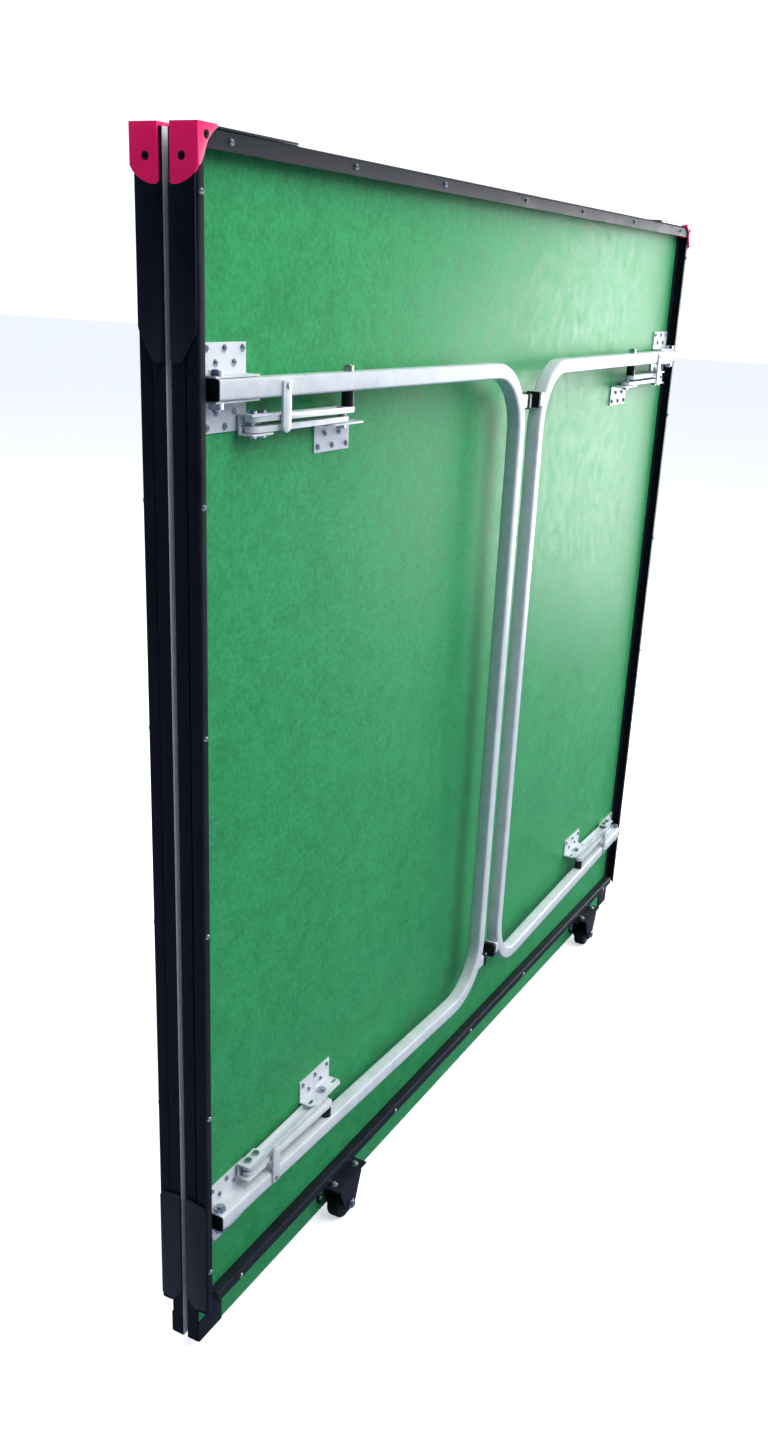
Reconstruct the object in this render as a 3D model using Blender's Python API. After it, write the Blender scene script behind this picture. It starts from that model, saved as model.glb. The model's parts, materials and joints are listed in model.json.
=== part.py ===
"""Two-piece ping pong table, folded and stood on its castors for storage.

Each half is 1.525 m wide and 1.370 m long and stands on its net edge.  The two
playing faces look at each other across a small gap.  Metres, +Z up, floor at
Z = 0, the front half at -Y.  Every piece is drawn once in the frame of one half
(its underside at y = 0 looking along -y, its net edge at z = 0) and placed
twice: the rear half is the same half turned round by 180 degrees.
"""
import math

import bmesh
import bpy
from mathutils import Matrix, Vector

MM = 0.001

# --- driving sizes ---------------------------------------------------------
TABLE_WIDTH = 1525 * MM
HALF_LENGTH = 1370 * MM
BOARD_THICK = 16 * MM
FACE_GAP = 6 * MM             # between the two playing faces
FLOOR_TO_BOARD = 20 * MM      # the net edge clears the floor by this much

APRON_DEPTH = 16 * MM
APRON_SHEET = 1.5 * MM
SIDE_LIP = 10 * MM
TOP_LIP = 16.5 * MM
RAIL_LIP = 13 * MM
APRON_FOOT = 22 * MM          # flange screwed to the board
TOP_FOOT = 14 * MM
RAIL_FOOT = 15 * MM
RAIL_TOP = 67 * MM            # height of the net-side rail above the net edge
APRON_END = 50 * MM           # the side aprons stop here, above the net clamp area

TUBE = 20 * MM
TUBE_WALL = 1.5 * MM
BEND_RADIUS = 86 * MM
LEG_TOP = 1148 * MM
LEG_BOTTOM = 176 * MM
HINGE_X = 732 * MM
HINGE_DEPTH = 13 * MM         # hinge bolt to the underside of the board
LEG_TILT = math.radians(1.75)  # the folded legs still lean out this much
BAR_FROM_HINGE = 696.5 * MM   # hinge bolt to the centre of the floor bar
TUBE_PAST_BOLT = 6.5 * MM
FOOT_TIP = 716 * MM           # hinge bolt to the end of a foot
FOOT_DROP = 43 * MM           # foot centre to leg centre
STAY_REACH = 241 * MM         # hinge bolt to both outer stay pivots
STAY_ARM = 180 * MM           # pivot to pivot
KNUCKLE_LENGTH = 38 * MM      # the plates that hold the arms' meeting ends
ARM_WIDTH = 16 * MM

CASTOR_X = (-434 * MM, 575 * MM)
WHEEL_RADIUS = 25 * MM
WHEEL_WIDTH = 20 * MM
CASTOR_Y = -17 * MM
FIT = 0.3 * MM                # gap left between two pieces that only touch

# Heights in a stay, counted from the centre of its leg toward mid table.
SLEEVE_END = 27 * MM
LEG_ARM_END = 33 * MM
BOARD_ARM = (37.6 * MM, 43.6 * MM)
STAY_FLANGE = (44.2 * MM, 46.2 * MM)
STAY_PLATE_END = 76.5 * MM

COLOURS = {
    "painted_board": (0.04, 0.29, 0.13, 1),
    "black_steel": (0.02, 0.02, 0.03, 1),
    "red_plastic": (0.70, 0.02, 0.17, 1),
    "white_steel": (0.80, 0.82, 0.84, 1),
    "zinc_steel": (0.55, 0.57, 0.60, 1),
    "black_rubber": (0.02, 0.02, 0.02, 1),
}


# --- solids ----------------------------------------------------------------
def mesh_from(verts, faces):
    mesh = bpy.data.meshes.new("solid")
    mesh.from_pydata([tuple(v) for v in verts], [], faces)
    bm = bmesh.new()
    bm.from_mesh(mesh)
    bmesh.ops.recalc_face_normals(bm, faces=bm.faces)
    bm.to_mesh(mesh)
    bm.free()
    return mesh


def prism(outline, axis, low, high):
    """A flat outline pushed along X (y, z points), Y (x, z) or Z (x, y)."""
    place = {"X": lambda a, b, t: (t, a, b),
             "Y": lambda a, b, t: (a, t, b),
             "Z": lambda a, b, t: (a, b, t)}[axis]
    count = len(outline)
    verts = [place(a, b, t) for t in (low, high) for a, b in outline]
    faces = [tuple(range(count)), tuple(reversed(range(count, 2 * count)))]
    faces += [(i, (i + 1) % count, count + (i + 1) % count, count + i)
              for i in range(count)]
    return mesh_from(verts, faces)


def box(x, y, z):
    return prism([(x[0], y[0]), (x[1], y[0]), (x[1], y[1]), (x[0], y[1])],
                 "Z", z[0], z[1])


def rod(axis, centre, radius, low, high, sides=24, turn=0.0):
    outline = [(centre[0] + radius * math.cos(turn + 2 * math.pi * i / sides),
                centre[1] + radius * math.sin(turn + 2 * math.pi * i / sides))
               for i in range(sides)]
    return prism(outline, axis, low, high)


def hexagon(axis, centre, across_flats, low, high):
    return rod(axis, centre, across_flats / math.sqrt(3), low, high, 6)


def swept_tube(path, outer, inner):
    """A square tube along a path in the (u, z) plane, open at both ends.

    outer and inner are half widths; the outer corners are eased by a chamfer.
    """
    ease = 0.22 * outer
    ring_out = [(outer, outer - ease), (outer - ease, outer),
                (ease - outer, outer), (-outer, outer - ease),
                (-outer, ease - outer), (ease - outer, -outer),
                (outer - ease, -outer), (outer, ease - outer)]
    ring_in = [(inner, inner), (-inner, inner), (-inner, -inner), (inner, -inner)]
    verts, faces = [], []
    for i, point in enumerate(path):
        before = path[max(i - 1, 0)]
        after = path[min(i + 1, len(path) - 1)]
        along = (Vector(after) - Vector(before)).normalized()
        side = Vector((-along.y, along.x))
        for ring in (ring_out, ring_in):
            for a, b in ring:
                verts.append((point[0] + side.x * a, b, point[1] + side.y * a))
    step = len(ring_out) + len(ring_in)
    for i in range(len(path) - 1):
        for start, count in ((0, 8), (8, 4)):
            for j in range(count):
                k = (j + 1) % count
                faces.append((i * step + start + j, i * step + start + k,
                              (i + 1) * step + start + k, (i + 1) * step + start + j))
    for i in (0, len(path) - 1):
        o, n = i * step, i * step + 8
        for corner in range(4):
            a, b = o + 2 * corner, o + 2 * corner + 1
            nxt = o + (2 * corner + 2) % 8
            faces.append((a, b, n + corner))
            faces.append((b, nxt, n + (corner + 1) % 4, n + corner))
    return mesh_from(verts, faces)


def moved(mesh, matrix):
    mesh.transform(matrix)
    if matrix.determinant() < 0:
        mesh.flip_normals()
    return mesh


def combined(first, added=(), cut=()):
    """first, joined with every mesh in added, less every mesh in cut."""
    body = bpy.data.objects.new("body", first)
    bpy.context.scene.collection.objects.link(body)
    for operation, meshes in (("UNION", added), ("DIFFERENCE", cut)):
        for mesh in meshes:
            tool = bpy.data.objects.new("tool", mesh)
            bpy.context.scene.collection.objects.link(tool)
            step = body.modifiers.new("step", "BOOLEAN")
            step.operation, step.solver, step.object = operation, "EXACT", tool
            bpy.context.view_layer.update()
            done = bpy.data.meshes.new_from_object(
                body.evaluated_get(bpy.context.evaluated_depsgraph_get()))
            body.modifiers.remove(step)
            body.data = done
            bpy.data.objects.remove(tool)
    result = body.data
    bpy.data.objects.remove(body)
    return result


# --- one half, piece by piece ----------------------------------------------
HALF_WIDTH = TABLE_WIDTH / 2


def channel(foot, depth, lip, sheet):
    """Outline of an apron: foot on the board, web at a = 0, lip at the front."""
    return [(0, 0), (foot, 0), (foot, -sheet), (sheet, -sheet),
            (sheet, sheet - depth), (lip, sheet - depth), (lip, -depth), (0, -depth)]


def side_apron():
    """Left side apron with the corner plate under the net corner."""
    outline = [(a - HALF_WIDTH, b) for a, b in
               channel(APRON_FOOT, APRON_DEPTH, SIDE_LIP, APRON_SHEET)]
    top = HALF_LENGTH - TOP_LIP - FIT
    section = prism(outline, "Z", APRON_END, top)
    left, inner, right = -HALF_WIDTH + 0.5 * MM, -743 * MM, -713 * MM
    plate_top = RAIL_TOP - RAIL_FOOT - FIT
    plate = prism([(left, 0.5 * MM), (right, 0.5 * MM), (right, plate_top),
                   (inner, plate_top), (inner, 31 * MM), (left, 31 * MM)],
                  "Y", -2 * MM, 0)
    return combined(section, [plate])


def top_apron():
    outline = [(b, HALF_LENGTH - a) for a, b in
               channel(TOP_FOOT, APRON_DEPTH, TOP_LIP, APRON_SHEET)]
    return prism(outline, "X", -HALF_WIDTH, HALF_WIDTH)


def bottom_rail():
    outline = [(b, RAIL_TOP - a) for a, b in
               channel(RAIL_FOOT, APRON_DEPTH, RAIL_LIP, APRON_SHEET)]
    reach = HALF_WIDTH - APRON_FOOT - FIT
    return prism(outline, "X", -reach, reach)


def corner_protector():
    """Left corner cap: side wall, top wall and a hollow-sided front face."""
    wall = 2.4 * MM
    out_x, in_x = -HALF_WIDTH - wall - FIT, -HALF_WIDTH - FIT
    under_top, top = HALF_LENGTH + FIT, HALF_LENGTH + 3.6 * MM
    front, behind = -APRON_DEPTH - wall - FIT, 12 * MM
    tip = -735 * MM
    side = prism([(front, top), (behind, top), (behind, 1324.5 * MM),
                  (10.5 * MM, 1323 * MM), (5 * MM, 1323 * MM), (0, 1324.2 * MM),
                  (-5.5 * MM, 1326.3 * MM), (-11 * MM, 1329.5 * MM),
                  (-15.5 * MM, 1333.4 * MM), (front, 1338.5 * MM)],
                 "X", out_x, in_x)
    lid = box((out_x, tip), (front, behind), (under_top, top))
    face = prism([(out_x, top), (tip, top), (-737 * MM, 1370 * MM),
                  (-744 * MM, 1365 * MM), (-749.5 * MM, 1359.5 * MM),
                  (-753 * MM, 1353 * MM), (-756.5 * MM, 1345.5 * MM),
                  (-760.5 * MM, 1339.5 * MM), (out_x, 1337.5 * MM)],
                 "Y", front, front + wall)
    return combined(side, [lid, face])


def leg_place():
    """From the leg's own plane (u out from the hinge, v to the board, z)."""
    return (Matrix.Translation((-HINGE_X, -HINGE_DEPTH, 0))
            @ Matrix.Rotation(-LEG_TILT, 4, "Z"))


def leg_frame():
    path = [(-TUBE_PAST_BOLT, LEG_TOP)]
    corners = ((LEG_TOP - BEND_RADIUS, 90, 0), (LEG_BOTTOM + BEND_RADIUS, 0, -90))
    for height, start, end in corners:
        for i in range(13):
            angle = math.radians(start + (end - start) * i / 12)
            path.append((BAR_FROM_HINGE - BEND_RADIUS + BEND_RADIUS * math.cos(angle),
                         height + BEND_RADIUS * math.sin(angle)))
    path.append((-TUBE_PAST_BOLT, LEG_BOTTOM))
    half = TUBE / 2
    tube = swept_tube(path, half, half - TUBE_WALL)
    added, cut = [], []
    for centre, toward in ((LEG_TOP, -1), (LEG_BOTTOM, 1)):
        foot = centre + toward * FOOT_DROP
        added.append(box((FOOT_TIP - 26.5 * MM, FOOT_TIP), (-9.8 * MM, 9.8 * MM),
                         (foot - 9.8 * MM, foot + 9.8 * MM)))
        near, far = sorted((centre - toward * 6 * MM, centre + toward * 38 * MM))
        catch = [(97 * MM, near), (112 * MM, near), (112 * MM, far), (97 * MM, far)]
        tip = centre + toward * 38 * MM
        added.append(prism(catch, "Y", -half - 2.5 * MM, -half + 0.8 * MM))
        added.append(rod("Y", (104.5 * MM, tip), 7.5 * MM,
                         -half - 2.5 * MM, -half + 0.8 * MM))
        cut.append(rod("Z", (0, 0), 4.4 * MM, centre - 15 * MM, centre + 15 * MM))
        cut.append(rod("Z", (STAY_REACH, 0), 3.4 * MM,
                       centre - 15 * MM, centre + 15 * MM))
    return moved(combined(tube, added, cut), leg_place())


def at_leg(mesh, centre, toward):
    """Put heights drawn from a leg's centre toward mid table in the half.

    toward is +1 for the lower leg and -1 for the upper one.
    """
    return moved(mesh, Matrix.Translation((0, 0, centre))
                 @ Matrix.Scale(toward, 4, (0, 0, 1)))


def hinge_bracket(centre, toward):
    """Two angles either side of the leg, held together by the hinge bolt."""
    edge, end = -HALF_WIDTH + APRON_FOOT + FIT, -664.5 * MM
    inner, sheet = TUBE / 2 + 0.6 * MM, 2 * MM
    parts = []
    for side in (-1, 1):
        heights = sorted((side * inner, side * (inner + sheet)))
        parts.append(box((edge, end), (-19 * MM, 0), heights))
        heights = sorted((side * inner, side * 42 * MM))
        parts.append(box((edge, end), (-sheet, 0), heights))
    bolt = (-HINGE_X, -HINGE_DEPTH)
    parts.append(rod("Z", bolt, 4 * MM, -18.5 * MM, 20 * MM))
    parts.append(hexagon("Z", bolt, 13 * MM, -17.5 * MM, -inner - sheet + 0.2 * MM))
    parts.append(hexagon("Z", bolt, 13 * MM, inner + sheet - 0.2 * MM, 18 * MM))
    return at_leg(combined(parts[0], parts[1:]), centre, toward)


def stay_points():
    """The three pivots of a folded stay: on the leg, on the board and between."""
    on_board = Vector((-HINGE_X + STAY_REACH, -HINGE_DEPTH))
    on_leg = Vector((-HINGE_X + STAY_REACH * math.cos(LEG_TILT),
                     -HINGE_DEPTH - STAY_REACH * math.sin(LEG_TILT)))
    half_span = STAY_REACH * math.sin(LEG_TILT / 2)
    toward = STAY_REACH * math.cos(LEG_TILT / 2) - math.sqrt(
        STAY_ARM ** 2 - half_span ** 2)
    between = Vector((-HINGE_X + toward * math.cos(LEG_TILT / 2),
                      -HINGE_DEPTH - toward * math.sin(LEG_TILT / 2)))
    return on_leg, on_board, between


def arm_place(start, end):
    """u runs from start to end, v across it."""
    along = end - start
    return (Matrix.Translation((start.x, start.y, 0))
            @ Matrix.Rotation(math.atan2(along.y, along.x), 4, "Z"))


def bar_outline(length, half, steps=8):
    """A bar with two round ends, pivots at u = 0 and u = length."""
    outline = []
    for centre, start in ((length, -90), (0, 90)):
        for i in range(steps + 1):
            angle = math.radians(start + 180 * i / steps)
            outline.append((centre + half * math.cos(angle), half * math.sin(angle)))
    return outline


def arm_channel(low, high, floor):
    """A pressed arm: a flat bar with a trough sunk in one of its two faces."""
    half, sheet = ARM_WIDTH / 2, 1.6 * MM
    bar = prism(bar_outline(STAY_ARM, half), "Z", low, high)
    trough = box((11 * MM, STAY_ARM - 11 * MM), (sheet - half, half - sheet), floor)
    return combined(bar, cut=[trough])


KNUCKLE_BACK = STAY_ARM + 12 * MM
KNUCKLE_NEAR = KNUCKLE_BACK - KNUCKLE_LENGTH
KNUCKLE_HALF = 9 * MM
KNUCKLE_BOLTS = (STAY_ARM, STAY_ARM - 17 * MM)


def leg_arm(centre, toward):
    """Stay arm on the leg, with its through bolt, sleeve and half the knuckle."""
    on_leg, _, between = stay_points()
    low, high = SLEEVE_END, LEG_ARM_END
    arm = arm_channel(low, high, (low - MM, high - 1.6 * MM))
    sheet, half = 2 * MM, KNUCKLE_HALF
    lid = (low - 1.5 * MM, low + 0.5 * MM)
    added = [
        rod("Z", (0, 0), 3 * MM, -17 * MM, high),
        rod("Z", (0, 0), 7 * MM, TUBE / 2 + FIT, low + 0.5 * MM),
        hexagon("Z", (0, 0), 10 * MM, -16 * MM, -TUBE / 2 - FIT),
        box((KNUCKLE_NEAR, KNUCKLE_BACK), (-half, half), lid),
        box((KNUCKLE_NEAR, KNUCKLE_BACK), (-half, sheet - half),
            (lid[0], BOARD_ARM[0] - FIT)),
        rod("Z", (STAY_ARM, 0), 3 * MM, lid[0], BOARD_ARM[0] - FIT, 12),
        *(hexagon("Z", (u, 0), 8 * MM, lid[0] - 3 * MM, lid[0] + 0.2 * MM)
          for u in KNUCKLE_BOLTS)]
    body = moved(combined(arm, added), arm_place(on_leg, between))
    return at_leg(body, centre, toward)


def board_arm(centre, toward):
    """Stay arm on the board's bracket, with the other half of the knuckle."""
    _, on_board, between = stay_points()
    low, high = BOARD_ARM
    arm = arm_channel(low, high, (low + 1.6 * MM, high + MM))
    sheet, half = 2 * MM, KNUCKLE_HALF
    floor = (high + 0.9 * MM, high + 0.9 * MM + sheet)
    added = [
        box((KNUCKLE_NEAR, KNUCKLE_BACK), (-half, sheet - half), (low, floor[1])),
        rod("Z", (STAY_ARM, 0), 3 * MM, low, floor[1], 12),
        box((KNUCKLE_NEAR, KNUCKLE_BACK), (-half, half), floor),
        *(hexagon("Z", (u, 0), 8 * MM, floor[1] - 0.2 * MM, floor[1] + 3 * MM)
          for u in KNUCKLE_BOLTS)]
    bore = rod("Z", (0, 0), 3.4 * MM, low - MM, high + MM)
    body = moved(combined(arm, added, [bore]), arm_place(on_board, between))
    return at_leg(body, centre, toward)


def stay_bracket(centre, toward):
    """Small angle screwed to the board, its flange carrying the arm's bolt."""
    _, pivot, _ = stay_points()
    left, right = pivot.x - 39 * MM, pivot.x + 37 * MM
    low, high = STAY_FLANGE
    flange = prism([(left, 0), (left, -18 * MM), (left + 6 * MM, -24 * MM),
                    (right - 6 * MM, -24 * MM), (right, -18 * MM), (right, 0)],
                   "Z", low, high)
    plate = box((left, right), (-2 * MM, 0), (low, STAY_PLATE_END))
    at = (pivot.x, pivot.y)
    added = [plate, rod("Z", at, 3 * MM, BOARD_ARM[0] - 2 * MM, high + 5 * MM),
             hexagon("Z", at, 10 * MM, high - 0.2 * MM, high + 4.5 * MM),
             rod("Z", at, 5 * MM, BOARD_ARM[0] - 2.3 * MM, BOARD_ARM[0] - FIT)]
    cut = [box((pivot.x + side * 30 * MM - 5 * MM, pivot.x + side * 30 * MM + 5 * MM),
               (-15.5 * MM, -11 * MM), (low - MM, high + MM)) for side in (-1, 1)]
    return at_leg(combined(flange, added, cut), centre, toward)


AXLE_HEIGHT = WHEEL_RADIUS - FLOOR_TO_BOARD


def castor_fork(x):
    """Fork with a bolted top plate, a base plate and its axle; x is the axle's."""
    top = RAIL_TOP - RAIL_FOOT - FIT - 0.5 * MM
    sheet = 2.5 * MM
    front, behind = -34 * MM, -2.5 * MM
    plate = box((x - 41 * MM, x + 42 * MM), (-35 * MM, -1 * MM), (top - sheet, top))
    added = [rod("Y", (x, AXLE_HEIGHT), 4 * MM, front - 3 * MM,
                 behind + 0.4 * MM)]
    for near, far in ((front, front + sheet), (behind - sheet, behind)):
        added.append(prism([(x - 31 * MM, top - MM), (x - 31 * MM, top - 8 * MM),
                            (x - 14 * MM, AXLE_HEIGHT - 4 * MM),
                            (x - 7 * MM, AXLE_HEIGHT - 10 * MM),
                            (x + 7 * MM, AXLE_HEIGHT - 10 * MM),
                            (x + 14 * MM, AXLE_HEIGHT - 4 * MM),
                            (x + 29 * MM, top - 8 * MM), (x + 29 * MM, top - MM)],
                           "Y", near, far))
    added.append(rod("Y", (x, AXLE_HEIGHT), 7 * MM, front - 2.2 * MM,
                     CASTOR_Y - WHEEL_WIDTH / 2 - 0.7 * MM))
    foot = [(x - 40.5 * MM, top - 0.4 * MM), (x - 40.5 * MM, 18 * MM),
            (x - 34 * MM, 14 * MM), (x - 32 * MM, 14 * MM),
            (x - 32 * MM, top - 0.4 * MM)]
    added.append(prism(foot, "Y", -3 * MM, 0))
    return combined(plate, added)


def castor_wheel(x):
    half, round_off = WHEEL_WIDTH / 2, 3 * MM
    profile = [(4.4 * MM, -half), (WHEEL_RADIUS - round_off, -half),
               (WHEEL_RADIUS - 0.9 * MM, -half + 0.9 * MM),
               (WHEEL_RADIUS, -half + round_off), (WHEEL_RADIUS, half - round_off),
               (WHEEL_RADIUS - 0.9 * MM, half - 0.9 * MM),
               (WHEEL_RADIUS - round_off, half), (4.4 * MM, half)]
    sides, count = 40, len(profile)
    verts = [(x + r * math.sin(2 * math.pi * i / sides), CASTOR_Y + y,
              AXLE_HEIGHT - r * math.cos(2 * math.pi * i / sides))
             for i in range(sides) for r, y in profile]
    faces = [(i * count + j, i * count + (j + 1) % count,
              ((i + 1) % sides) * count + (j + 1) % count,
              ((i + 1) % sides) * count + j)
             for i in range(sides) for j in range(count)]
    return mesh_from(verts, faces)


# --- the two halves --------------------------------------------------------
MIRROR = Matrix.Scale(-1, 4, (1, 0, 0))


def put(name, mesh, material, place):
    solid = bpy.data.objects.new(name, moved(mesh, place))
    solid.data.name = name
    solid.data.materials.clear()
    solid.data.materials.append(material)
    bpy.context.scene.collection.objects.link(solid)


def build_half(label, place, material):
    def add(name, mesh, kind, flip=False):
        put(f"{label}_{name}", mesh, material[kind], place @ MIRROR if flip else place)

    add("board", box((-HALF_WIDTH, HALF_WIDTH), (FIT / 10, BOARD_THICK),
                     (0, HALF_LENGTH)), "painted_board")
    add("top_apron", top_apron(), "black_steel")
    add("bottom_rail", bottom_rail(), "black_steel")
    for side, flip in (("left", False), ("right", True)):
        add(f"{side}_apron", side_apron(), "black_steel", flip)
        add(f"{side}_corner_protector", corner_protector(), "red_plastic", flip)
        add(f"{side}_leg_frame", leg_frame(), "white_steel", flip)
        for end, centre, toward in (("upper", LEG_TOP, -1), ("lower", LEG_BOTTOM, 1)):
            for name, solid in (("hinge_bracket", hinge_bracket),
                                ("stay_leg_arm", leg_arm),
                                ("stay_board_arm", board_arm),
                                ("stay_bracket", stay_bracket)):
                add(f"{side}_{end}_{name}", solid(centre, toward),
                    "white_steel", flip)
    for side, x in zip(("left", "right"), CASTOR_X):
        add(f"{side}_castor_fork", castor_fork(x), "black_steel")
        add(f"{side}_castor_wheel", castor_wheel(x), "black_rubber")


def main():
    for old in list(bpy.data.objects):
        bpy.data.objects.remove(old)
    material = {}
    for name, colour in COLOURS.items():
        material[name] = bpy.data.materials.new(name)
        material[name].diffuse_color = colour
    front = Matrix.Translation((0, -(FACE_GAP / 2 + BOARD_THICK), FLOOR_TO_BOARD))
    build_half("front", front, material)
    build_half("rear", Matrix.Rotation(math.pi, 4, "Z") @ front, material)


main()
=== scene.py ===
"""Looks of a two-piece ping pong table, folded and stood on edge on its castors.

Both halves are the same product, the rear one turned half round.  Every piece
is worked out once in the frame of one half, in millimetres: x across the
table, y from the underside (0) to the playing face (16), z up from the net
edge.  Pieces drawn for the left are mirrored in x for the right.
"""
import json
import math

import bmesh
import bpy
import numpy as np
from mathutils import Matrix, Vector

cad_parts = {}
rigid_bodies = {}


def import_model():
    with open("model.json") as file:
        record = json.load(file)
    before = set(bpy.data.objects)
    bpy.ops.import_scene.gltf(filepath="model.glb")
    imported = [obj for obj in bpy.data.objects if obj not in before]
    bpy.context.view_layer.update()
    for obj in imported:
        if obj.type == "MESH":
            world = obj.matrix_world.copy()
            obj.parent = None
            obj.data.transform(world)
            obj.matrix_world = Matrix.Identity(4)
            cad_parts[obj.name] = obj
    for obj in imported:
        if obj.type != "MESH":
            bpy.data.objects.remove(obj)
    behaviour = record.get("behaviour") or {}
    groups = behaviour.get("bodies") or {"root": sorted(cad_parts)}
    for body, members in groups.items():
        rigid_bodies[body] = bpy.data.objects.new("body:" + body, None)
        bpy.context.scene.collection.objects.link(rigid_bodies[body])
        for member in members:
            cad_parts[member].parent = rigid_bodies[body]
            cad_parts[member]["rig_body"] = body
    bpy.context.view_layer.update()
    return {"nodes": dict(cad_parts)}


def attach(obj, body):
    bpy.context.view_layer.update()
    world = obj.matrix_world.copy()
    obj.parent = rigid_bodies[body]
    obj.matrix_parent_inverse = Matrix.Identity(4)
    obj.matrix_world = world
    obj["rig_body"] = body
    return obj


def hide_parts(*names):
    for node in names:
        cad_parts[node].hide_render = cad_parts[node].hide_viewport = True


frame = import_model()

# --- sizes in millimetres, as the part has them -----------------------------
HALF_WIDTH, HALF_LENGTH, BOARD_THICK = 762.5, 1370.0, 16.0
FACE_GAP, FLOOR_TO_BOARD = 6.0, 20.0
APRON_DEPTH, SHEET = 16.0, 1.5
SIDE_LIP, END_LIP, RAIL_LIP = 10.0, 16.5, 13.0
SIDE_FOOT, END_FOOT, RAIL_FOOT = 22.0, 14.0, 15.0     # flanges on the board
RAIL_TOP, APRON_END, END_GAP, RAIL_GAP = 67.0, 50.0, 16.8, 0.3
HINGE_X, HINGE_DEPTH, LEG_TILT = 732.0, 13.0, math.radians(1.75)
LEG_TOP, LEG_BOTTOM, FOOT_DROP = 1148.0, 176.0, 43.0
BAR_FROM_HINGE, BEND_RADIUS, TUBE_HALF = 696.5, 86.0, 10.0
TUBE_PAST_BOLT, CATCH_FROM_HINGE, CATCH_HALF = 6.5, 104.5, 7.5
STAY_REACH, STAY_ARM = 241.0, 180.0
CASTOR_X = (-434.0, 575.0)
CASTOR_Y, WHEEL_RADIUS, WHEEL_HALF = -17.0, 25.0, 10.0
AXLE_HEIGHT = WHEEL_RADIUS - FLOOR_TO_BOARD
SIDE_SCREW_Z = (1318, 1040, 804, 575, 337, 114)
END_SCREW_X = (-710, -480, -265, -15, 203, 444, 704)
RAIL_SCREW_X = (-690, -267, 10, 246, 690)
HALVES = {"front": 1, "rear": -1}
SIDES = {"left": 1, "right": -1}
LEGS = {"upper": (LEG_TOP, -1), "lower": (LEG_BOTTOM, 1)}


# --- materials --------------------------------------------------------------
RAMP, BAND, BUMP = "ShaderNodeValToRGB", "ShaderNodeMapRange", "ShaderNodeBump"
MATH, MIX = "ShaderNodeMath", "ShaderNodeMix"
FACTOR, FIRST, SECOND, MIXED = 0, 6, 7, 2    # a colour mix's sockets, by number
LINE_WIDTH, CENTRE_LINE, EDGE_LAP = 20.0, 3.0, 3.0


def linear(hex_colour):
    """sRGB hex to a linear colour with alpha 1."""
    values = np.array([int(hex_colour[i:i + 2], 16) for i in (1, 3, 5)]) / 255
    curve = np.where(values <= 0.04045, values / 12.92,
                     ((values + 0.055) / 1.055) ** 2.4)
    return (*curve.tolist(), 1.0)


def add(tree, kind, links=(), stops=(), **settings):
    """One node with its settings.  links map an input to a value or to another
    node's socket; stops are a colour ramp's (place, hex colour) pairs."""
    node = tree.nodes.new(kind)
    for name, value in settings.items():
        setattr(node, name, value)
    for number, (place, colour) in enumerate(stops):
        elements = node.color_ramp.elements
        stop = elements[number] if number < len(elements) else elements.new(1.0)
        stop.position, stop.color = place, linear(colour)
    for key, value in dict(links).items():
        if isinstance(value, bpy.types.NodeSocket):
            tree.links.new(value, node.inputs[key])
        else:
            node.inputs[key].default_value = value
    return node


def material(name, colour, roughness, **sockets):
    """A new material with one surface shader; returns it, its tree and shader."""
    made = bpy.data.materials.new(name)
    made.use_nodes = True
    made.diffuse_color = linear(colour)
    tree = made.node_tree
    shader = tree.nodes["Principled BSDF"]
    shader.inputs["Base Color"].default_value = linear(colour)
    shader.inputs["Roughness"].default_value = roughness
    for socket, value in sockets.items():
        shader.inputs[socket.replace("_", " ")].default_value = value
    return made, tree, shader


def grain(tree, size_mm, detail=3.0, rough=0.5):
    """Noise on the piece's own coordinates whose blobs are about size_mm."""
    place = add(tree, "ShaderNodeTexCoord")
    return add(tree, "ShaderNodeTexNoise",
               {"Vector": place.outputs["Object"], "Scale": 1000 / size_mm,
                "Detail": detail, "Roughness": rough}).outputs["Fac"]


def coat(tree, shader, colour, pattern, roughness, relief=None, depth_mm=0.0,
         strength=0.0):
    """Dress a shader: the colour as given, a roughness that follows the
    pattern's middle band, and a bump as deep as the relief."""
    low, high = roughness
    dull = add(tree, BAND, {"Value": pattern, "From Min": 0.3, "From Max": 0.7,
                            "To Min": low, "To Max": high})
    tree.links.new(colour, shader.inputs["Base Color"])
    tree.links.new(dull.outputs["Result"], shader.inputs["Roughness"])
    if relief:
        raised = add(tree, BUMP, {"Height": relief, "Strength": strength,
                                  "Distance": depth_mm / 1000})
        tree.links.new(raised.outputs["Normal"], shader.inputs["Normal"])


def board_paint(tree, shader, covered, over):
    """Rolled-on water paint over fibreboard: cloudy in tone, finely pebbled,
    with another colour over it where covered is 1."""
    blotch = grain(tree, 24, detail=5, rough=0.65)
    speck = grain(tree, 6, detail=3, rough=0.6)
    tone = add(tree, RAMP, {"Fac": grain(tree, 190, detail=3, rough=0.5)},
               ((0.30, "#3aa263"), (0.70, "#40ab6b"))).outputs["Color"]
    for pattern, share, stops in (
            (blotch, 0.8, ((0.34, "#e4e8e0"), (0.60, "#ffffff"))),
            (speck, 0.85, ((0.34, "#dde6dc"), (0.62, "#ffffff")))):
        shade = add(tree, RAMP, {"Fac": pattern}, stops).outputs["Color"]
        tone = add(tree, MIX, {FACTOR: share, FIRST: tone, SECOND: shade},
                   data_type="RGBA", blend_type="MULTIPLY").outputs[MIXED]
    tone = add(tree, MIX, {FACTOR: covered, FIRST: tone, SECOND: over},
               data_type="RGBA").outputs[MIXED]
    coat(tree, shader, tone, blotch, (0.42, 0.56), grain(tree, 3.2), 0.12, 0.5)


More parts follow.
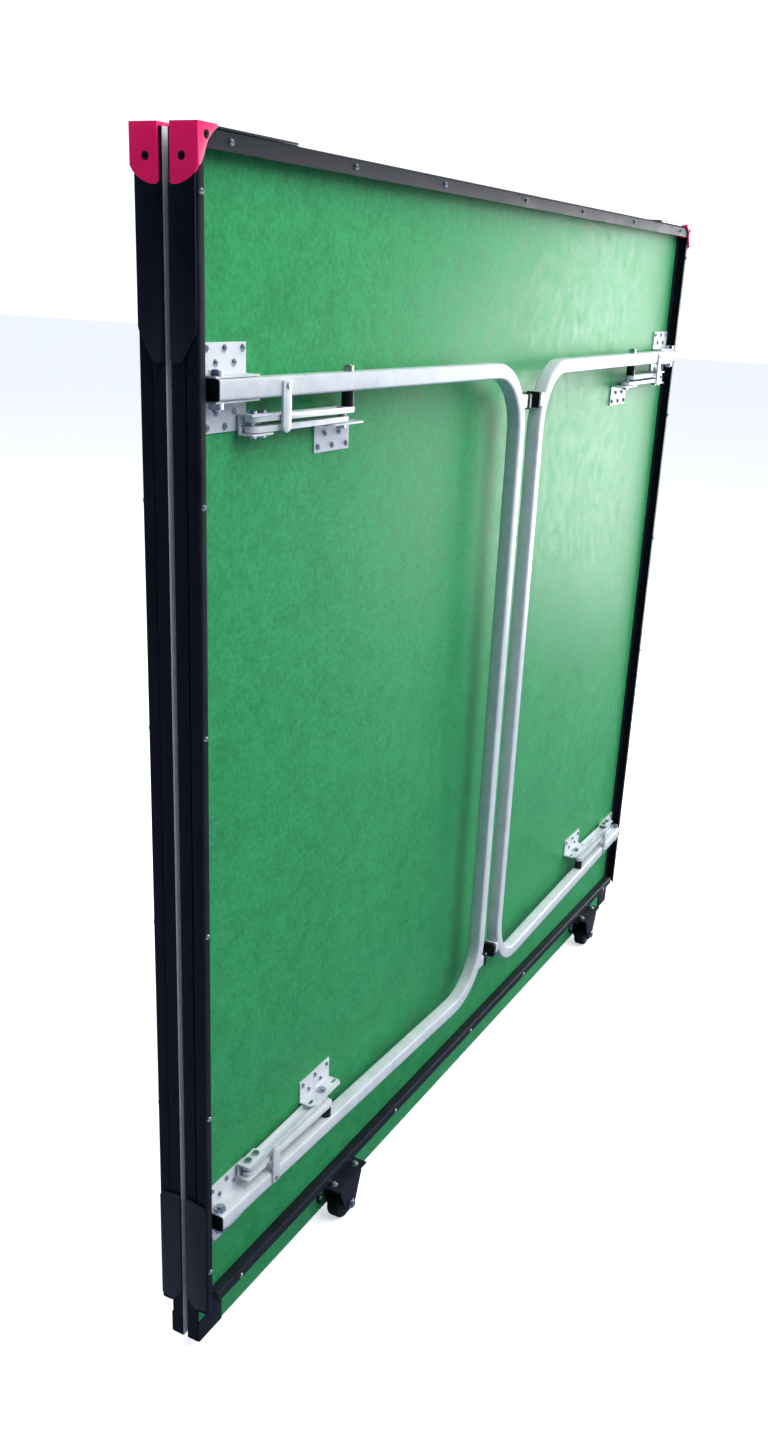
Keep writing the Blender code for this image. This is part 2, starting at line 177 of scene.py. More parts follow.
def board_axes(tree):
    """Distance from the table's middle line, and height, in metres."""
    place = add(tree, "ShaderNodeTexCoord").outputs["Object"]
    axes = add(tree, "ShaderNodeSeparateXYZ", {"Vector": place}).outputs
    across = add(tree, MATH, {0: axes["X"]}, operation="ABSOLUTE").outputs[0]
    return across, axes["Z"]


def make_underside():
    """Green paint on fibreboard, bare of lines; the edge paint laps 3 mm over."""
    made, tree, shader = material("green board paint", "#3da56a", 0.5,
                                  Specular_IOR_Level=0.12)
    across, _ = board_axes(tree)
    lapped = add(tree, MATH, {0: across, 1: (HALF_WIDTH - EDGE_LAP) / 1000},
                 operation="GREATER_THAN").outputs[0]
    board_paint(tree, shader, lapped, linear("#15171b"))
    return made


def make_playing_face():
    """The same paint with 20 mm white side and end lines, 3 mm centre line."""
    made, tree, shader = material("green playing face with white lines", "#3da56a",
                                  0.5, Specular_IOR_Level=0.12)
    across, height = board_axes(tree)
    end_line = HALF_LENGTH + FLOOR_TO_BOARD - LINE_WIDTH
    line = 0.0
    for axis, test, limit in ((across, "GREATER_THAN", HALF_WIDTH - LINE_WIDTH),
                              (height, "GREATER_THAN", end_line),
                              (across, "LESS_THAN", CENTRE_LINE / 2)):
        inside = add(tree, MATH, {0: axis, 1: limit / 1000}, operation=test)
        line = add(tree, MATH, {0: inside.outputs[0], 1: line},
                   operation="MAXIMUM").outputs[0]
    white = add(tree, RAMP, {"Fac": grain(tree, 9)},
                ((0.3, "#dfe3de"), (0.7, "#eef0ec"))).outputs["Color"]
    board_paint(tree, shader, line, white)
    return made


def make_edge_band():
    """Black paint on the sawn fibreboard edge: dull, fibres raised a little."""
    made, tree, shader = material("black edge paint on fibreboard", "#101216", 0.6,
                                  Specular_IOR_Level=0.2)
    fibre = grain(tree, 1.6, detail=4, rough=0.7)
    tone = add(tree, RAMP, {"Fac": fibre}, ((0.3, "#12151a"), (0.7, "#1e2127")))
    coat(tree, shader, tone.outputs["Color"], fibre, (0.5, 0.72), fibre, 0.15, 0.5)
    return made


def make_apron_steel():
    """Black powder coat on pressed steel: blue-black, faint orange peel, and
    greyer where the coat is rubbed thin."""
    made, tree, shader = material("black powder coated steel", "#15181f", 0.45,
                                  Specular_IOR_Level=0.14)
    wear = grain(tree, 45, detail=6, rough=0.7)
    tone = add(tree, RAMP, {"Fac": wear}, ((0.35, "#171a22"), (0.68, "#22252e")))
    coat(tree, shader, tone.outputs["Color"], wear, (0.4, 0.54),
         grain(tree, 1.4, detail=2), 0.05, 0.4)
    return made


def make_protector_plastic():
    """Crimson moulded polypropylene with a painted glow (emission): painted light that
    brightens it in shade; moulded grain too fine to show, drawn at 0.8 mm."""
    made, tree, shader = material("crimson moulded polypropylene", "#e81f68", 0.36,
                                  Subsurface_Weight=0.15, Subsurface_Scale=0.004,
                                  Subsurface_Radius=(1.0, 0.25, 0.3),
                                  # the emission is painted glow that lifts the shaded
                                  # faces; the plastic is no lamp
                                  Specular_IOR_Level=0.4, Emission_Strength=0.3,
                                  Emission_Color=linear("#f0165c"))
    cloud = grain(tree, 14, detail=3)
    tone = add(tree, RAMP, {"Fac": cloud}, ((0.3, "#e01a5f"), (0.7, "#ec2370")))
    coat(tree, shader, tone.outputs["Color"], cloud, (0.3, 0.42),
         grain(tree, 0.8, detail=2), 0.03, 0.35)
    return made


def make_white_steel():
    """White powder coat on steel tube and pressings: cool white, soft gloss,
    light scuffs."""
    made, tree, shader = material("white powder coated steel", "#dfe5e8", 0.34,
                                  Specular_IOR_Level=0.4)
    scuff = grain(tree, 30, detail=6, rough=0.72)
    tone = add(tree, RAMP, {"Fac": scuff}, ((0.34, "#c8ced2"), (0.6, "#d8dde0")))
    coat(tree, shader, tone.outputs["Color"], scuff, (0.26, 0.4),
         grain(tree, 1.6, detail=2), 0.05, 0.35)
    return made


def make_zinc():
    """Bright zinc plate on screws and bolts: bluish metal, slightly streaked."""
    made, tree, shader = material("bright zinc plated steel", "#c3c8d0", 0.3,
                                  Metallic=1.0)
    streak = grain(tree, 2.2, detail=4, rough=0.6)
    tone = add(tree, RAMP, {"Fac": streak}, ((0.3, "#aab1bc"), (0.7, "#d3d6da")))
    coat(tree, shader, tone.outputs["Color"], streak, (0.2, 0.4))
    return made


def make_black_nylon():
    """Moulded black nylon: plugs, foot caps, sleeves and castor wheels."""
    made, tree, shader = material("black moulded nylon", "#0d0e12", 0.42,
                                  Specular_IOR_Level=0.25)
    cloud = grain(tree, 7, detail=4)
    tone = add(tree, RAMP, {"Fac": cloud}, ((0.3, "#0d0e12"), (0.7, "#17181c")))
    coat(tree, shader, tone.outputs["Color"], cloud, (0.36, 0.52),
         grain(tree, 0.9, detail=2), 0.03, 0.4)
    return made


def make_label_gloss():
    """Glossy black acrylic plates, left blank."""
    made, tree, shader = material("gloss black acrylic", "#0e1117", 0.2,
                                  Specular_IOR_Level=0.5)
    smear = grain(tree, 22, detail=5, rough=0.65)
    tone = add(tree, RAMP, {"Fac": smear}, ((0.3, "#0c0f15"), (0.7, "#14171d")))
    coat(tree, shader, tone.outputs["Color"], smear, (0.12, 0.24))
    return made


FINISH = {"underside": make_underside(), "playing": make_playing_face(),
          "edge": make_edge_band(), "apron": make_apron_steel(),
          "crimson": make_protector_plastic(), "white": make_white_steel(),
          "zinc": make_zinc(), "nylon": make_black_nylon(),
          "gloss": make_label_gloss()}


# --- shapes: each is (points in mm, faces) ----------------------------------
def rounded(corners, radius, steps=5):
    """Outline with arcs for corners: each arc turns a corner's start spoke into
    its end spoke by spherical interpolation about the arc's centre."""
    points = np.array(corners, float)
    radius = np.broadcast_to(np.array(radius, float), len(points))[:, None]
    before = np.roll(points, 1, 0) - points
    after = np.roll(points, -1, 0) - points
    before /= np.linalg.norm(before, axis=1)[:, None]
    after /= np.linalg.norm(after, axis=1)[:, None]
    half = np.arccos(np.clip((before * after).sum(1), -1, 1))[:, None] / 2
    bisector = before + after
    bisector /= np.linalg.norm(bisector, axis=1)[:, None]
    centre = points + bisector * radius / np.sin(half)
    start = points + before * radius / np.tan(half) - centre
    end = points + after * radius / np.tan(half) - centre
    turn = np.pi - 2 * half
    share = np.linspace(0, 1, steps)[None, :, None]
    turn = turn[:, None, :]
    arcs = (np.sin((1 - share) * turn) * start[:, None]
            + np.sin(share * turn) * end[:, None]) / np.sin(turn)
    return (centre[:, None] + arcs).reshape(-1, 2)


def outward(outline):
    """Unit outward normals of a closed outline: the tangent turned a quarter."""
    tangent = np.roll(outline, -1, 0) - np.roll(outline, 1, 0)
    normal = np.stack([tangent[:, 1], -tangent[:, 0]], 1)
    normal /= np.maximum(np.linalg.norm(normal, axis=1), 1e-9)[:, None]
    x, y = outline.T
    area = (x * np.roll(y, -1) - np.roll(x, -1) * y).sum()
    return normal * np.sign(area)


def skin(rings):
    """Quads between successive rings of points, the ends capped."""
    rings = np.array(rings, float)
    count, around = rings.shape[:2]
    index = np.arange(count * around).reshape(count, around)
    beside = np.roll(index, -1, 1)
    quads = np.stack([index[:-1], beside[:-1], beside[1:], index[1:]], -1)
    faces = quads.reshape(-1, 4).tolist()
    faces += [index[0, ::-1].tolist(), index[-1].tolist()]
    return rings.reshape(-1, 3), faces


def slab(outline, low, high, rim, axes="xyz"):
    """A plate: the outline pushed from low to high with quarter-round rims.
    axes names where outline's two numbers and the height go."""
    angle = np.radians([90, 45, 0])
    inset = rim * (1 - np.cos(angle))
    rise = rim * (1 - np.sin(angle))
    insets = np.concatenate([inset, inset[::-1]])
    heights = np.concatenate([low + rise, high - rise[::-1]])
    flat = outline[None] - outward(outline)[None] * insets[:, None, None]
    tall = np.broadcast_to(heights[:, None, None], (len(heights), len(outline), 1))
    points, faces = skin(np.concatenate([flat, tall], 2))
    return points[:, [axes.index(a) for a in "xyz"]], faces


def along(section, start, end, axes="xyz"):
    """A section carried straight from start to end."""
    stations = np.array([start, end], float)[:, None, None]
    flat = np.broadcast_to(section[None], (2, *section.shape))
    points, faces = skin(np.concatenate(
        [flat, np.broadcast_to(stations, (2, len(section), 1))], 2))
    return points[:, [axes.index(a) for a in "xyz"]], faces


def pressed(bends, radius=2.2, thick=SHEET, steps=5):
    """Section of folded sheet: its middle line with rounded bends, offset half
    the thickness to both sides."""
    bends = np.array(bends, float)
    inner = rounded(bends, radius, steps).reshape(len(bends), steps, 2)[1:-1]
    line = np.concatenate([bends[:1], inner.reshape(-1, 2), bends[-1:]])
    tangent = np.gradient(line, axis=0)
    tangent /= np.linalg.norm(tangent, axis=1)[:, None]
    normal = np.stack([-tangent[:, 1], tangent[:, 0]], 1) * thick / 2
    return np.concatenate([line + normal, (line - normal)[::-1]])


def lathe(profile, sides=32):
    """A profile of (radius, height) turned about the height axis."""
    profile = np.array(profile, float)
    angle = np.arange(sides) * 2 * np.pi / sides
    radius = profile[:, 0][:, None]
    rings = np.stack([radius * np.cos(angle), radius * np.sin(angle),
                      np.repeat(profile[:, 1][:, None], sides, 1)], -1)
    return skin(rings)


def pan_head(radius, height):
    """Cross-head screw: a flattened dome, lowered where the cosine of four
    times the angle is high and the radius is under half, so a cross sinks in."""
    share = np.array([1, 0.93, 0.74, 0.48, 0.2, 0])[:, None]
    angle = np.arange(16)[None] * 2 * np.pi / 16
    dome = height * np.sqrt(1 - 0.92 * share ** 2.6)
    dome[0] = 0
    cross = np.clip((np.cos(4 * angle) + 0.2) * 1.6, 0, 1) * (share < 0.6)
    cross = np.maximum(cross, share < 0.1)
    rise = dome - 0.62 * height * cross
    rings = np.stack([radius * share * np.cos(angle),
                      radius * share * np.sin(angle), rise], -1)
    return skin(rings)


def hex_head(across, height):
    """Bolt head with its washer: a hexagon slab on a thin round one."""
    corners = np.radians(60 * np.arange(6))
    outline = across / math.sqrt(3) * np.stack([np.cos(corners), np.sin(corners)], 1)
    head = slab(rounded(outline, 0.4, 2), 0.9, 0.9 + height, 0.6)
    washer = lathe([(across * 0.82, 0), (across * 0.82, 0.7), (across * 0.76, 1.0),
                    (across * 0.3, 1.0)], 28)
    return joined(head, washer)


def joined(*shapes):
    """Several shapes as one, with the face numbers moved on."""
    points, faces, offset = [], [], 0
    for some_points, some_faces in shapes:
        points.append(some_points)
        faces += [[i + offset for i in face] for face in some_faces]
        offset += len(some_points)
    return np.concatenate(points), faces


# A shape's own (a, b, height) axes laid along the half's x, y and z.
FACING_UNDERSIDE = np.array([[1, 0, 0], [0, 0, 1], [0, -1, 0]], float)
FACING_LEFT = np.array([[0, 1, 0], [0, 0, 1], [-1, 0, 0]], float)
FACING_UP = np.eye(3)


def repeated(shape, places, facing):
    """The shape laid along facing and copied to every place."""
    points, faces = shape
    places = np.array(places, float).reshape(-1, 3)
    laid = points @ facing
    every = (laid[None] + places[:, None]).reshape(-1, 3)
    shift = np.arange(len(places)) * len(points)
    copies = [[i + s for i in face] for s in shift.tolist() for face in faces]
    return every, copies


def leg_plane(shape):
    """(u from the hinge, v toward the board, z) turned by the folded tilt."""
    points, faces = shape
    u, v, z = points.T
    cos, sin = math.cos(LEG_TILT), math.sin(LEG_TILT)
    return np.stack([-HINGE_X + u * cos + v * sin,
                     -HINGE_DEPTH - u * sin + v * cos, z], 1), faces


def to_row(points, half, side):
    """Half's millimetres to the row frame: mirror, step back, turn, scale."""
    turn = HALVES[half]
    x, y, z = points.T
    return np.stack([turn * SIDES[side] * x,
                     turn * (y - FACE_GAP / 2 - BOARD_THICK),
                     z + FLOOR_TO_BOARD], 1) / 1000


def to_half(points, half):
    """Row frame to millimetres of the half, with the right folded on the left."""
    turn = HALVES[half]
    x, y, z = (points * 1000).T
    return np.stack([-np.abs(x), turn * y + FACE_GAP / 2 + BOARD_THICK,
                     z - FLOOR_TO_BOARD], 1)


# --- pieces -----------------------------------------------------------------
def piece(name, shape, finishes, body, half="front", side="left", sharp=38):
    """A mesh object from a shape, riding on a body."""
    points, faces = shape
    mesh = bpy.data.meshes.new(name)
    mesh.from_pydata(to_row(points, half, side), [], faces)
    work = bmesh.new()
    work.from_mesh(mesh)
    bmesh.ops.remove_doubles(work, verts=work.verts, dist=1e-6)
    bmesh.ops.dissolve_degenerate(work, edges=work.edges, dist=1e-7)
    bmesh.ops.recalc_face_normals(work, faces=work.faces)
    work.to_mesh(mesh)
    work.free()
    mesh.shade_smooth()
    mesh.set_sharp_from_angle(angle=math.radians(sharp))
    for finish in finishes:
        mesh.materials.append(FINISH[finish])
    made = bpy.data.objects.new(name, mesh)
    bpy.context.scene.collection.objects.link(made)
    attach(made, body)
    return made


def centres(mesh):
    values = np.zeros(len(mesh.polygons) * 3)
    mesh.polygons.foreach_get("center", values)
    return values.reshape(-1, 3)


def paint(made, half, rules):
    """Give faces another finish where a rule holds for their centres."""
    mesh = made.data
    place = to_half(centres(mesh), half)
    index = np.zeros(len(place), np.int32)
    for number, rule in rules:
        index[rule(*place.T)] = number
    mesh.polygons.foreach_set("material_index", index)
    mesh.update()


def pressed_from(node, finishes, edge_mm, half, rules=(), segments=2):
    """A merged copy of a CAD node with its edges eased, standing for it."""
    source = frame["nodes"][node]
    work = bmesh.new()
    work.from_mesh(source.data)
    bmesh.ops.remove_doubles(work, verts=work.verts, dist=2e-6)
    bmesh.ops.dissolve_limit(work, angle_limit=math.radians(1.5), verts=work.verts,
                             edges=work.edges)
    edges = [e for e in work.edges if len(e.link_faces) == 2
             and e.calc_face_angle(0) > math.radians(38)]
    bmesh.ops.bevel(work, geom=edges, offset=edge_mm / 1000, segments=segments,
                    profile=0.5, affect="EDGES", clamp_overlap=True)
    mesh = bpy.data.meshes.new(node + "_finished")
    work.to_mesh(mesh)
    work.free()
    mesh.shade_smooth()
    mesh.set_sharp_from_angle(angle=math.radians(24))
    for finish in finishes:
        mesh.materials.append(FINISH[finish])
    made = bpy.data.objects.new(node + "_finished", mesh)
    bpy.context.scene.collection.objects.link(made)
    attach(made, source["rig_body"])
    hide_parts(node)
    if rules:
        paint(made, half, rules)
    return made


def build_board(half):
    body, name = f"{half}_half", f"{half}_board"
    outline = rounded([(-HALF_WIDTH, 0), (HALF_WIDTH, 0), (HALF_WIDTH, HALF_LENGTH),
                       (-HALF_WIDTH, HALF_LENGTH)], 1.5, 3)
    made = piece(name + "_painted", slab(outline, 0.05, BOARD_THICK, 0.7, "xzy"),
                 ("edge", "underside", "playing"), body, half)
    normals = np.zeros(len(made.data.polygons) * 3)
    made.data.polygons.foreach_get("normal", normals)
    facing = normals.reshape(-1, 3)[:, 1] * HALVES[half]
    index = np.where(facing < -0.8, 1, np.where(facing > 0.8, 2, 0)).astype(np.int32)
    made.data.polygons.foreach_set("material_index", index)
    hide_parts(name)


def build_aprons(half):
    body = f"{half}_half"
    middle = SHEET / 2
    edge, lip_y = -HALF_WIDTH + middle, middle - APRON_DEPTH
    side_section = pressed([(-HALF_WIDTH + SIDE_FOOT, -middle), (edge, -middle),
                            (edge, lip_y), (-HALF_WIDTH + SIDE_LIP, lip_y)])
    plate = rounded([(-HALF_WIDTH + 0.5, 0.5), (-713, 0.5), (-713, 51.7),
                     (-743, 51.7), (-743, 31), (-HALF_WIDTH + 0.5, 31)], 1.0, 3)
    for side in SIDES:
        made = piece(f"{half}_{side}_apron_coated",
                     joined(along(side_section, APRON_END, HALF_LENGTH - END_GAP),
                            slab(plate, -2, 0.02, 0.5, "xzy")),
                     ("apron",), body, half, side)
        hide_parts(f"{half}_{side}_apron")
    top, rail = HALF_LENGTH - middle, RAIL_TOP - middle
    end_section = pressed([(-middle, HALF_LENGTH - END_FOOT), (-middle, top),
                           (lip_y, top), (lip_y, HALF_LENGTH - END_LIP)])
    made = piece(f"{half}_top_apron_coated",
                 along(end_section, -HALF_WIDTH, HALF_WIDTH, "yzx"),
                 ("apron",), body, half)
    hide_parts(f"{half}_top_apron")
    rail_section = pressed([(-middle, RAIL_TOP - RAIL_FOOT), (-middle, rail),
                            (lip_y, rail), (lip_y, RAIL_TOP - RAIL_LIP)])
    reach = HALF_WIDTH - SIDE_FOOT - RAIL_GAP
    made = piece(f"{half}_bottom_rail_coated",
                 along(rail_section, -reach, reach, "yzx"),
                 ("apron",), body, half)
    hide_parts(f"{half}_bottom_rail")


def build_apron_screws(half):
    """Screws along the lips: sides, end apron and net-side rail."""
    head = pan_head(3.3, 2.2)
    lip = -APRON_DEPTH + 0.1
    places = [(side * 757.3, lip, z) for z in SIDE_SCREW_Z for side in (-1, 1)]
    places += [(x, lip, 1361.5) for x in END_SCREW_X]
    places += [(x, lip, 58.5) for x in RAIL_SCREW_X]
    piece(f"{half}_apron_screws", repeated(head, places, FACING_UNDERSIDE),
          ("zinc",), f"{half}_half", half)


def build_bracket_screws(half):
    """Wood screws that hold hinge and stay brackets to the board."""
    places = []
    for centre, toward in LEGS.values():
        for end in (-1, 1):
            z = centre + end * 36.5
            places += [(side * x, -2.05, z) for x in (732, 702, 671)
                       for side in (-1, 1)]
            z = centre + end * 23
            places += [(side * x, -2.05, z) for x in (717, 686) for side in (-1, 1)]
        pivot = -HINGE_X + STAY_REACH
        for z, steps in ((70, (-32, -1, 30)), (56, (-17, 14))):
            places += [(side * (pivot + step), -2.05, centre + toward * z)
                       for step in steps for side in (-1, 1)]
    piece(f"{half}_bracket_screws", repeated(pan_head(3.6, 2.4), places,
                                             FACING_UNDERSIDE),
          ("zinc",), f"{half}_half", half)


def build_protectors(half):
    for side in SIDES:
        pressed_from(f"{half}_{side}_corner_protector", ("crimson",),
                     1.1, half, segments=3)
        head, ring = pan_head(2.7, 1.2), lathe(
            [(3.9, 0), (3.9, 0.35), (3.3, 0.5), (2.7, 0.2), (2.7, 0)], 24)
        screw = joined(head, ring)
        shapes = joined(repeated(screw, [(-HALF_WIDTH - 2.6, -1, 1346)], FACING_LEFT),
                        repeated(screw, [(-752, -APRON_DEPTH - 2.6, 1364)],
                                 FACING_UNDERSIDE))
        piece(f"{half}_{side}_protector_screws", shapes, ("nylon",),
              f"{half}_half", half, side)


def square(half_size, radius, steps=5):
    return rounded([(-half_size, -half_size), (half_size, -half_size),
                    (half_size, half_size), (-half_size, half_size)], radius, steps)


def leg_tube():
    """Rounded square section carried along straight leg, bend, floor bar, bend
    and straight leg; the bends are quarter circles."""
    path = [(-TUBE_PAST_BOLT, LEG_TOP, 0.0, 1.0)]
    for height, first in ((LEG_TOP - BEND_RADIUS, 90), (LEG_BOTTOM + BEND_RADIUS, 0)):
        angle = np.radians(np.linspace(first, first - 90, 15))
        path += list(zip(BAR_FROM_HINGE - BEND_RADIUS + BEND_RADIUS * np.cos(angle),
                         height + BEND_RADIUS * np.sin(angle),
                         np.cos(angle), np.sin(angle)))
    path.append((-TUBE_PAST_BOLT, LEG_BOTTOM, 0.0, -1.0))
    path = np.array(path)
    section = square(TUBE_HALF, 3.0)
    a, b = section.T
    rings = np.stack([path[:, 0][:, None] + path[:, 2][:, None] * a,
                      np.broadcast_to(b, (len(path), len(b))),
                      path[:, 1][:, None] + path[:, 3][:, None] * a], -1)
    return skin(rings)


def catch_outline(centre, toward):
    """Catch plate: square at the tube, half round at its free end."""
    angle = np.radians(np.linspace(0, 180, 13))
    left, right = CATCH_FROM_HINGE - CATCH_HALF, CATCH_FROM_HINGE + CATCH_HALF
    tip = np.stack([CATCH_FROM_HINGE + CATCH_HALF * np.cos(angle),
                    38 + CATCH_HALF * np.sin(angle)], 1)
    outline = np.concatenate([tip, [(left, -5), (left + 1.2, -6),
                                    (right - 1.2, -6), (right, -5)]])
    return np.stack([outline[:, 0], centre + toward * outline[:, 1]], 1)


def build_leg_frames(half):
    for side in SIDES:
        body, node = f"{half}_{side}_legs", f"{half}_{side}_leg_frame"
        shapes, caps, rivets = [leg_tube()], [], []
        for centre, toward in LEGS.values():
            foot = centre + toward * FOOT_DROP
            stub = square(9.8, 2.8) + [0, foot]
            shapes.append(along(stub, 689.5, 711.5, "yzx"))
            shapes.append(slab(catch_outline(centre, toward), -TUBE_HALF - 2.5,
                               -TUBE_HALF + 0.5, 0.5, "xzy"))
            caps.append(slab(square(11, 3.2) + [0, foot], 708.5, 719, 1.2, "yzx"))
            caps.append(slab(square(10.4, 3) + [0, centre], -9.2, -6.2, 0.9, "yzx"))
            rivets.append((CATCH_FROM_HINGE, -TUBE_HALF - 2.4, centre - toward * 0.5))
        made = piece(f"{node}_coated", leg_plane(joined(*shapes)), ("white",), body,
                     half, side)
        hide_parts(node)
        piece(f"{half}_{side}_foot_and_end_caps", leg_plane(joined(*caps)),
              ("nylon",), body, half, side)
        dome = lathe([(3.2, 0), (3.0, 0.8), (2.1, 1.4), (1.0, 1.7), (0.01, 1.75)], 20)
        piece(f"{half}_{side}_catch_rivets",
              leg_plane(repeated(dome, rivets, FACING_UNDERSIDE)), ("zinc",), body,
              half, side)


def build_hinges_and_stays(half):
    """Brackets and arms from the part, with zinc bolts and black sleeves."""
    leg_pivot = (-HINGE_X + STAY_REACH * math.cos(LEG_TILT),
                 -HINGE_DEPTH - STAY_REACH * math.sin(LEG_TILT))
    board_pivot = (-HINGE_X + STAY_REACH, -HINGE_DEPTH)
    knuckle = (-HINGE_X + STAY_REACH - STAY_ARM, -HINGE_DEPTH - 1)

    def near(x, y, point, reach):
        return np.hypot(x - point[0], y - point[1]) < reach

    for side in SIDES:
        for end, (centre, toward) in LEGS.items():
            def height(z, centre=centre, toward=toward):
                return (z - centre) * toward

            where = f"{half}_{side}_{end}"
            pressed_from(f"{where}_hinge_bracket", ("white", "zinc"),
                         0.35, half, [(1, lambda x, y, z: near(
                             x, y, (-HINGE_X, -HINGE_DEPTH), 8)
                             & (np.abs(height(z)) > 12.65))])
            pressed_from(f"{where}_stay_leg_arm", ("white", "zinc", "nylon"),
                         0.3, half, [
                             (1, lambda x, y, z: (height(z) < 25.3)
                              & ~near(x, y, leg_pivot, 60)),
                             (1, lambda x, y, z: near(x, y, leg_pivot, 8)
                              & (height(z) < -9)),
                             (1, lambda x, y, z: near(x, y, knuckle, 3.6)
                              & (height(z) > 33.1)),
                             (2, lambda x, y, z: near(x, y, leg_pivot, 7.3)
                              & (height(z) > 9) & (height(z) < 26.9))])
            pressed_from(f"{where}_stay_board_arm", ("white", "zinc"),
                         0.3, half, [(1, lambda x, y, z: height(z) > 46.6)])
            pressed_from(f"{where}_stay_bracket", ("white", "zinc"),
                         0.35, half, [(1, lambda x, y, z: near(
                             x, y, board_pivot, 6.5)
                             & ((height(z) > 46.4) | (height(z) < 44)))])


def build_labels(half):
    """Blank glossy plates on the side faces and along the end edge."""
    low = rounded([(-14.3, 58), (3, 54), (15.4, 69), (15.4, 219), (-14.3, 214)],
                  (3, 4, 3, 4, 9), 6)
    high = rounded([(-14.6, 1337), (15.4, 1324), (15.4, 1173), (4, 1168),
                    (-14.6, 1200)], (1, 1, 4, 9, 12), 6)
    ends = rounded([(-728, -14.6), (-590, -14.6), (-577, 2), (-577, 15),
                    (-728, 15)], (1, 10, 6, 3, 1), 6)
    for side in SIDES:
        plates = joined(slab(low, -HALF_WIDTH - 2.4, -HALF_WIDTH, 0.8, "yzx"),
                        slab(high, -HALF_WIDTH - 2.2, -HALF_WIDTH, 0.8, "yzx"),
                        slab(ends, HALF_LENGTH, HALF_LENGTH + 3, 0.8, "xyz"))
        piece(f"{half}_{side}_name_plates", plates, ("gloss",), f"{half}_half",
              half, side)


def build_castors(half):
    wheel_profile = [(4.5, -WHEEL_HALF + 1.5), (13, -WHEEL_HALF + 1.5),
                     (13.6, -WHEEL_HALF), (21, -WHEEL_HALF), (23.4, -WHEEL_HALF + 0.7),
                     (24.6, -WHEEL_HALF + 2.2), (25, -WHEEL_HALF + 4.4),
                     (25, -4.2), (24.1, -3.7), (24.1, -2.7), (25, -2.2)]
    wheel_profile += [(r, -h) for r, h in reversed(wheel_profile)]
    for side, x in zip(SIDES, CASTOR_X):
        turned = lathe(wheel_profile + wheel_profile[:1], 72)
        points = turned[0] @ FACING_UNDERSIDE + [x, CASTOR_Y, AXLE_HEIGHT]
        made = piece(f"{half}_{side}_castor_tyre", (points, turned[1][:-2]),
                     ("nylon",), f"{half}_{side}_castor_wheel", half)
        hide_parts(f"{half}_{side}_castor_wheel")
        pressed_from(f"{half}_{side}_castor_fork", ("apron", "zinc"),
                     0.5, half)
        bolts = joined(
            repeated(hex_head(7.5, 3.0), [(x - 29, -20.5, 51.2), (x + 28, -21.5, 51.2)],
                     FACING_UP),
            repeated(pan_head(3.0, 1.8), [(x - 36, -3.05, 35), (x - 36, -3.05, 25.5)],
                     FACING_UNDERSIDE),
            repeated(hex_head(10, 3), [(x, -35.5, AXLE_HEIGHT)],
                     FACING_UNDERSIDE))
        piece(f"{half}_{side}_castor_bolts", bolts, ("zinc",), f"{half}_half",
              half)


for half in HALVES:
    build_board(half)
    build_aprons(half)
    build_apron_screws(half)
    build_bracket_screws(half)
    build_protectors(half)
    build_leg_frames(half)
    build_hinges_and_stays(half)
    build_labels(half)
    build_castors(half)


# --- floor, light and camera ------------------------------------------------
def build_floor():
    """A pale matt floor, level with the castors; it throws little light back."""
    reach = 30.0
    mesh = bpy.data.meshes.new("floor")
    mesh.from_pydata([(-reach, -reach, 0), (reach, -reach, 0), (reach, reach, 0),
                      (-reach, reach, 0)], [], [(0, 1, 2, 3)])
    made, tree, shader = material("pale studio floor", "#f6f7f8", 0.9,
                                  Specular_IOR_Level=0.1)
    seen = add(tree, "ShaderNodeLightPath").outputs["Is Camera Ray"]
    tone = add(tree, MIX, {FACTOR: seen, FIRST: linear("#7d8598"),
                           SECOND: linear("#f8f9fa")}, data_type="RGBA")
    glow = add(tree, MATH, {0: seen, 1: 0.6}, operation="MULTIPLY")
    tree.links.new(tone.outputs[MIXED], shader.inputs["Base Color"])
    shader.inputs["Emission Color"].default_value = linear("#f4f6f8")
    tree.links.new(glow.outputs[0], shader.inputs["Emission Strength"])
    mesh.materials.append(made)
    floor = bpy.data.objects.new("floor", mesh)
    bpy.context.scene.collection.objects.link(floor)


def area_light(name, place, aim, size, power, mirrored=True):
    """A square lamp; one that isn't mirrored leaves no gloss on the object."""
    data = bpy.data.lights.new(name, "AREA")
    data.shape, data.size, data.energy = "SQUARE", size, power
    lamp = bpy.data.objects.new(name, data)
    lamp.visible_glossy = mirrored
    lamp.location = place
    lamp.rotation_euler = (Vector(aim) - Vector(place)).to_track_quat(
        "-Z", "Y").to_euler()
    bpy.context.scene.collection.objects.link(lamp)


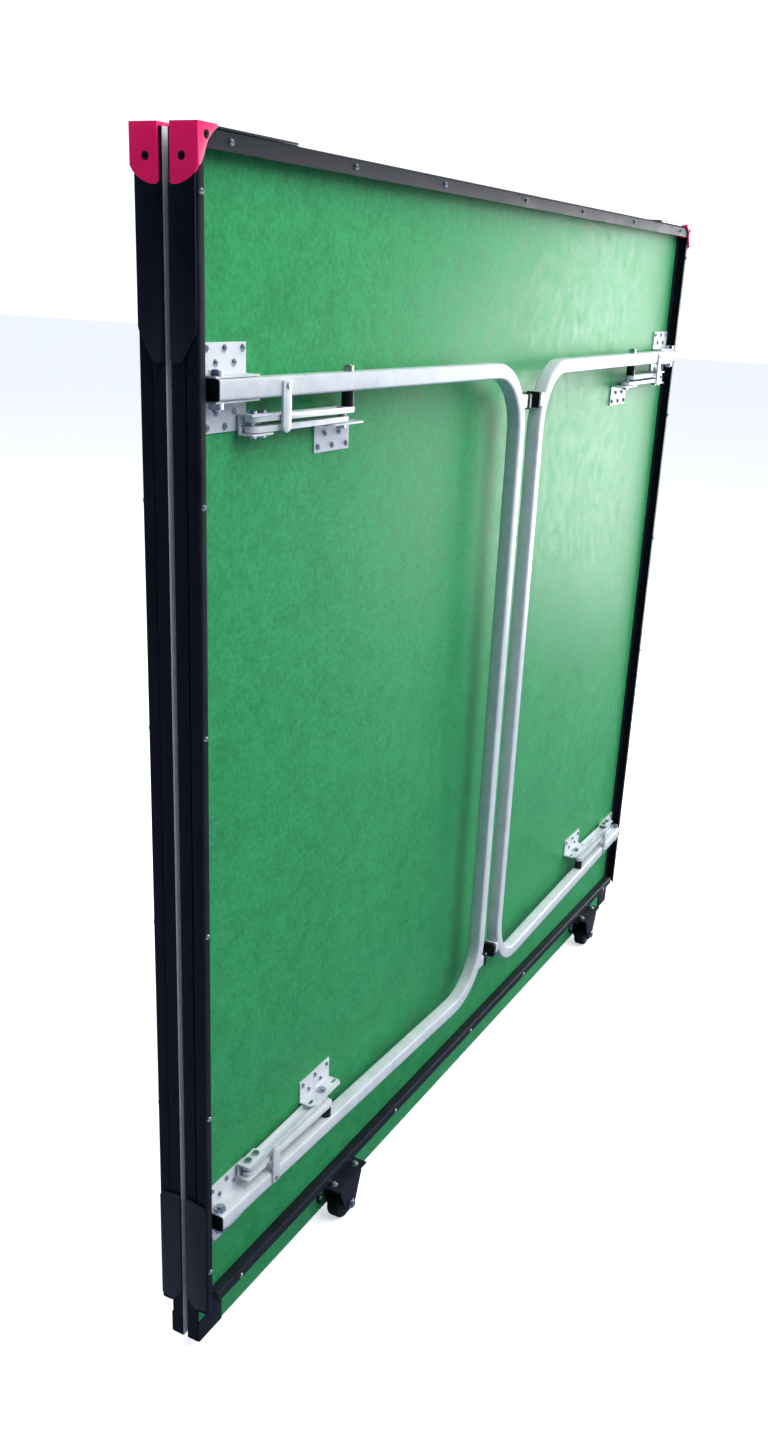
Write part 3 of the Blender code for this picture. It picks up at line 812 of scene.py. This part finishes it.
def build_light():
    """A pale room, brighter and whiter to the right, dim and bluish to the
    left, with a soft window high on the right and a soft ceiling."""
    world = bpy.data.worlds.new("studio")
    bpy.context.scene.world = world
    world.use_nodes = True
    tree = world.node_tree
    direction = add(tree, "ShaderNodeTexCoord").outputs["Generated"]
    axes = add(tree, "ShaderNodeSeparateXYZ", {"Vector": direction}).outputs
    rightward = add(tree, BAND, {"Value": axes["X"], "From Min": -1.0,
                                 "From Max": 1.0}).outputs["Result"]
    shade = add(tree, RAMP, {"Fac": rightward},
                ((0.0, "#222d50"), (0.35, "#4d5974"), (0.62, "#a9b1bd"),
                 (1.0, "#dfe3e7"))).outputs["Color"]
    seen = add(tree, "ShaderNodeLightPath").outputs["Is Camera Ray"]
    room = add(tree, MIX, {FACTOR: seen, FIRST: shade,
                           SECOND: linear("#fbfcfd")}, data_type="RGBA")
    background = tree.nodes["Background"]
    tree.links.new(room.outputs[MIXED], background.inputs["Color"])
    background.inputs["Strength"].default_value = 1.2
    area_light("window", (3.6, -1.0, 0.85), (0.2, 0, 0.7), 1.7, 76)
    area_light("ceiling", (0.3, -3.4, 4.4), (0, -0.6, 0), 5.0, 285,
               mirrored=False)
    area_light("rear ceiling", (-0.3, 3.4, 4.4), (0, 0.6, 0), 5.0, 170,
               mirrored=False)


def build_camera():
    """Placed by its three directions: right, down and forward."""
    right = Vector((0.47502, -0.87897, 0.04209)).normalized()
    forward = Vector((0.82560, 0.42860, -0.36700)).normalized()
    right = (right - forward * right.dot(forward)).normalized()
    up = right.cross(forward).normalized()
    data = bpy.data.cameras.new("camera")
    data.lens, data.sensor_width = 32.695, 36.0
    data.shift_y = 0.05816
    data.clip_start, data.clip_end = 0.05, 100.0
    camera = bpy.data.objects.new("camera", data)
    turn = Matrix((right, up, -forward)).transposed().to_4x4()
    camera.matrix_world = Matrix.Translation((-1.8026, -0.7883, 1.2658)) @ turn
    bpy.context.scene.collection.objects.link(camera)
    bpy.context.scene.camera = camera


build_floor()
build_light()
build_camera()
bpy.context.scene.view_settings.view_transform = "Standard"
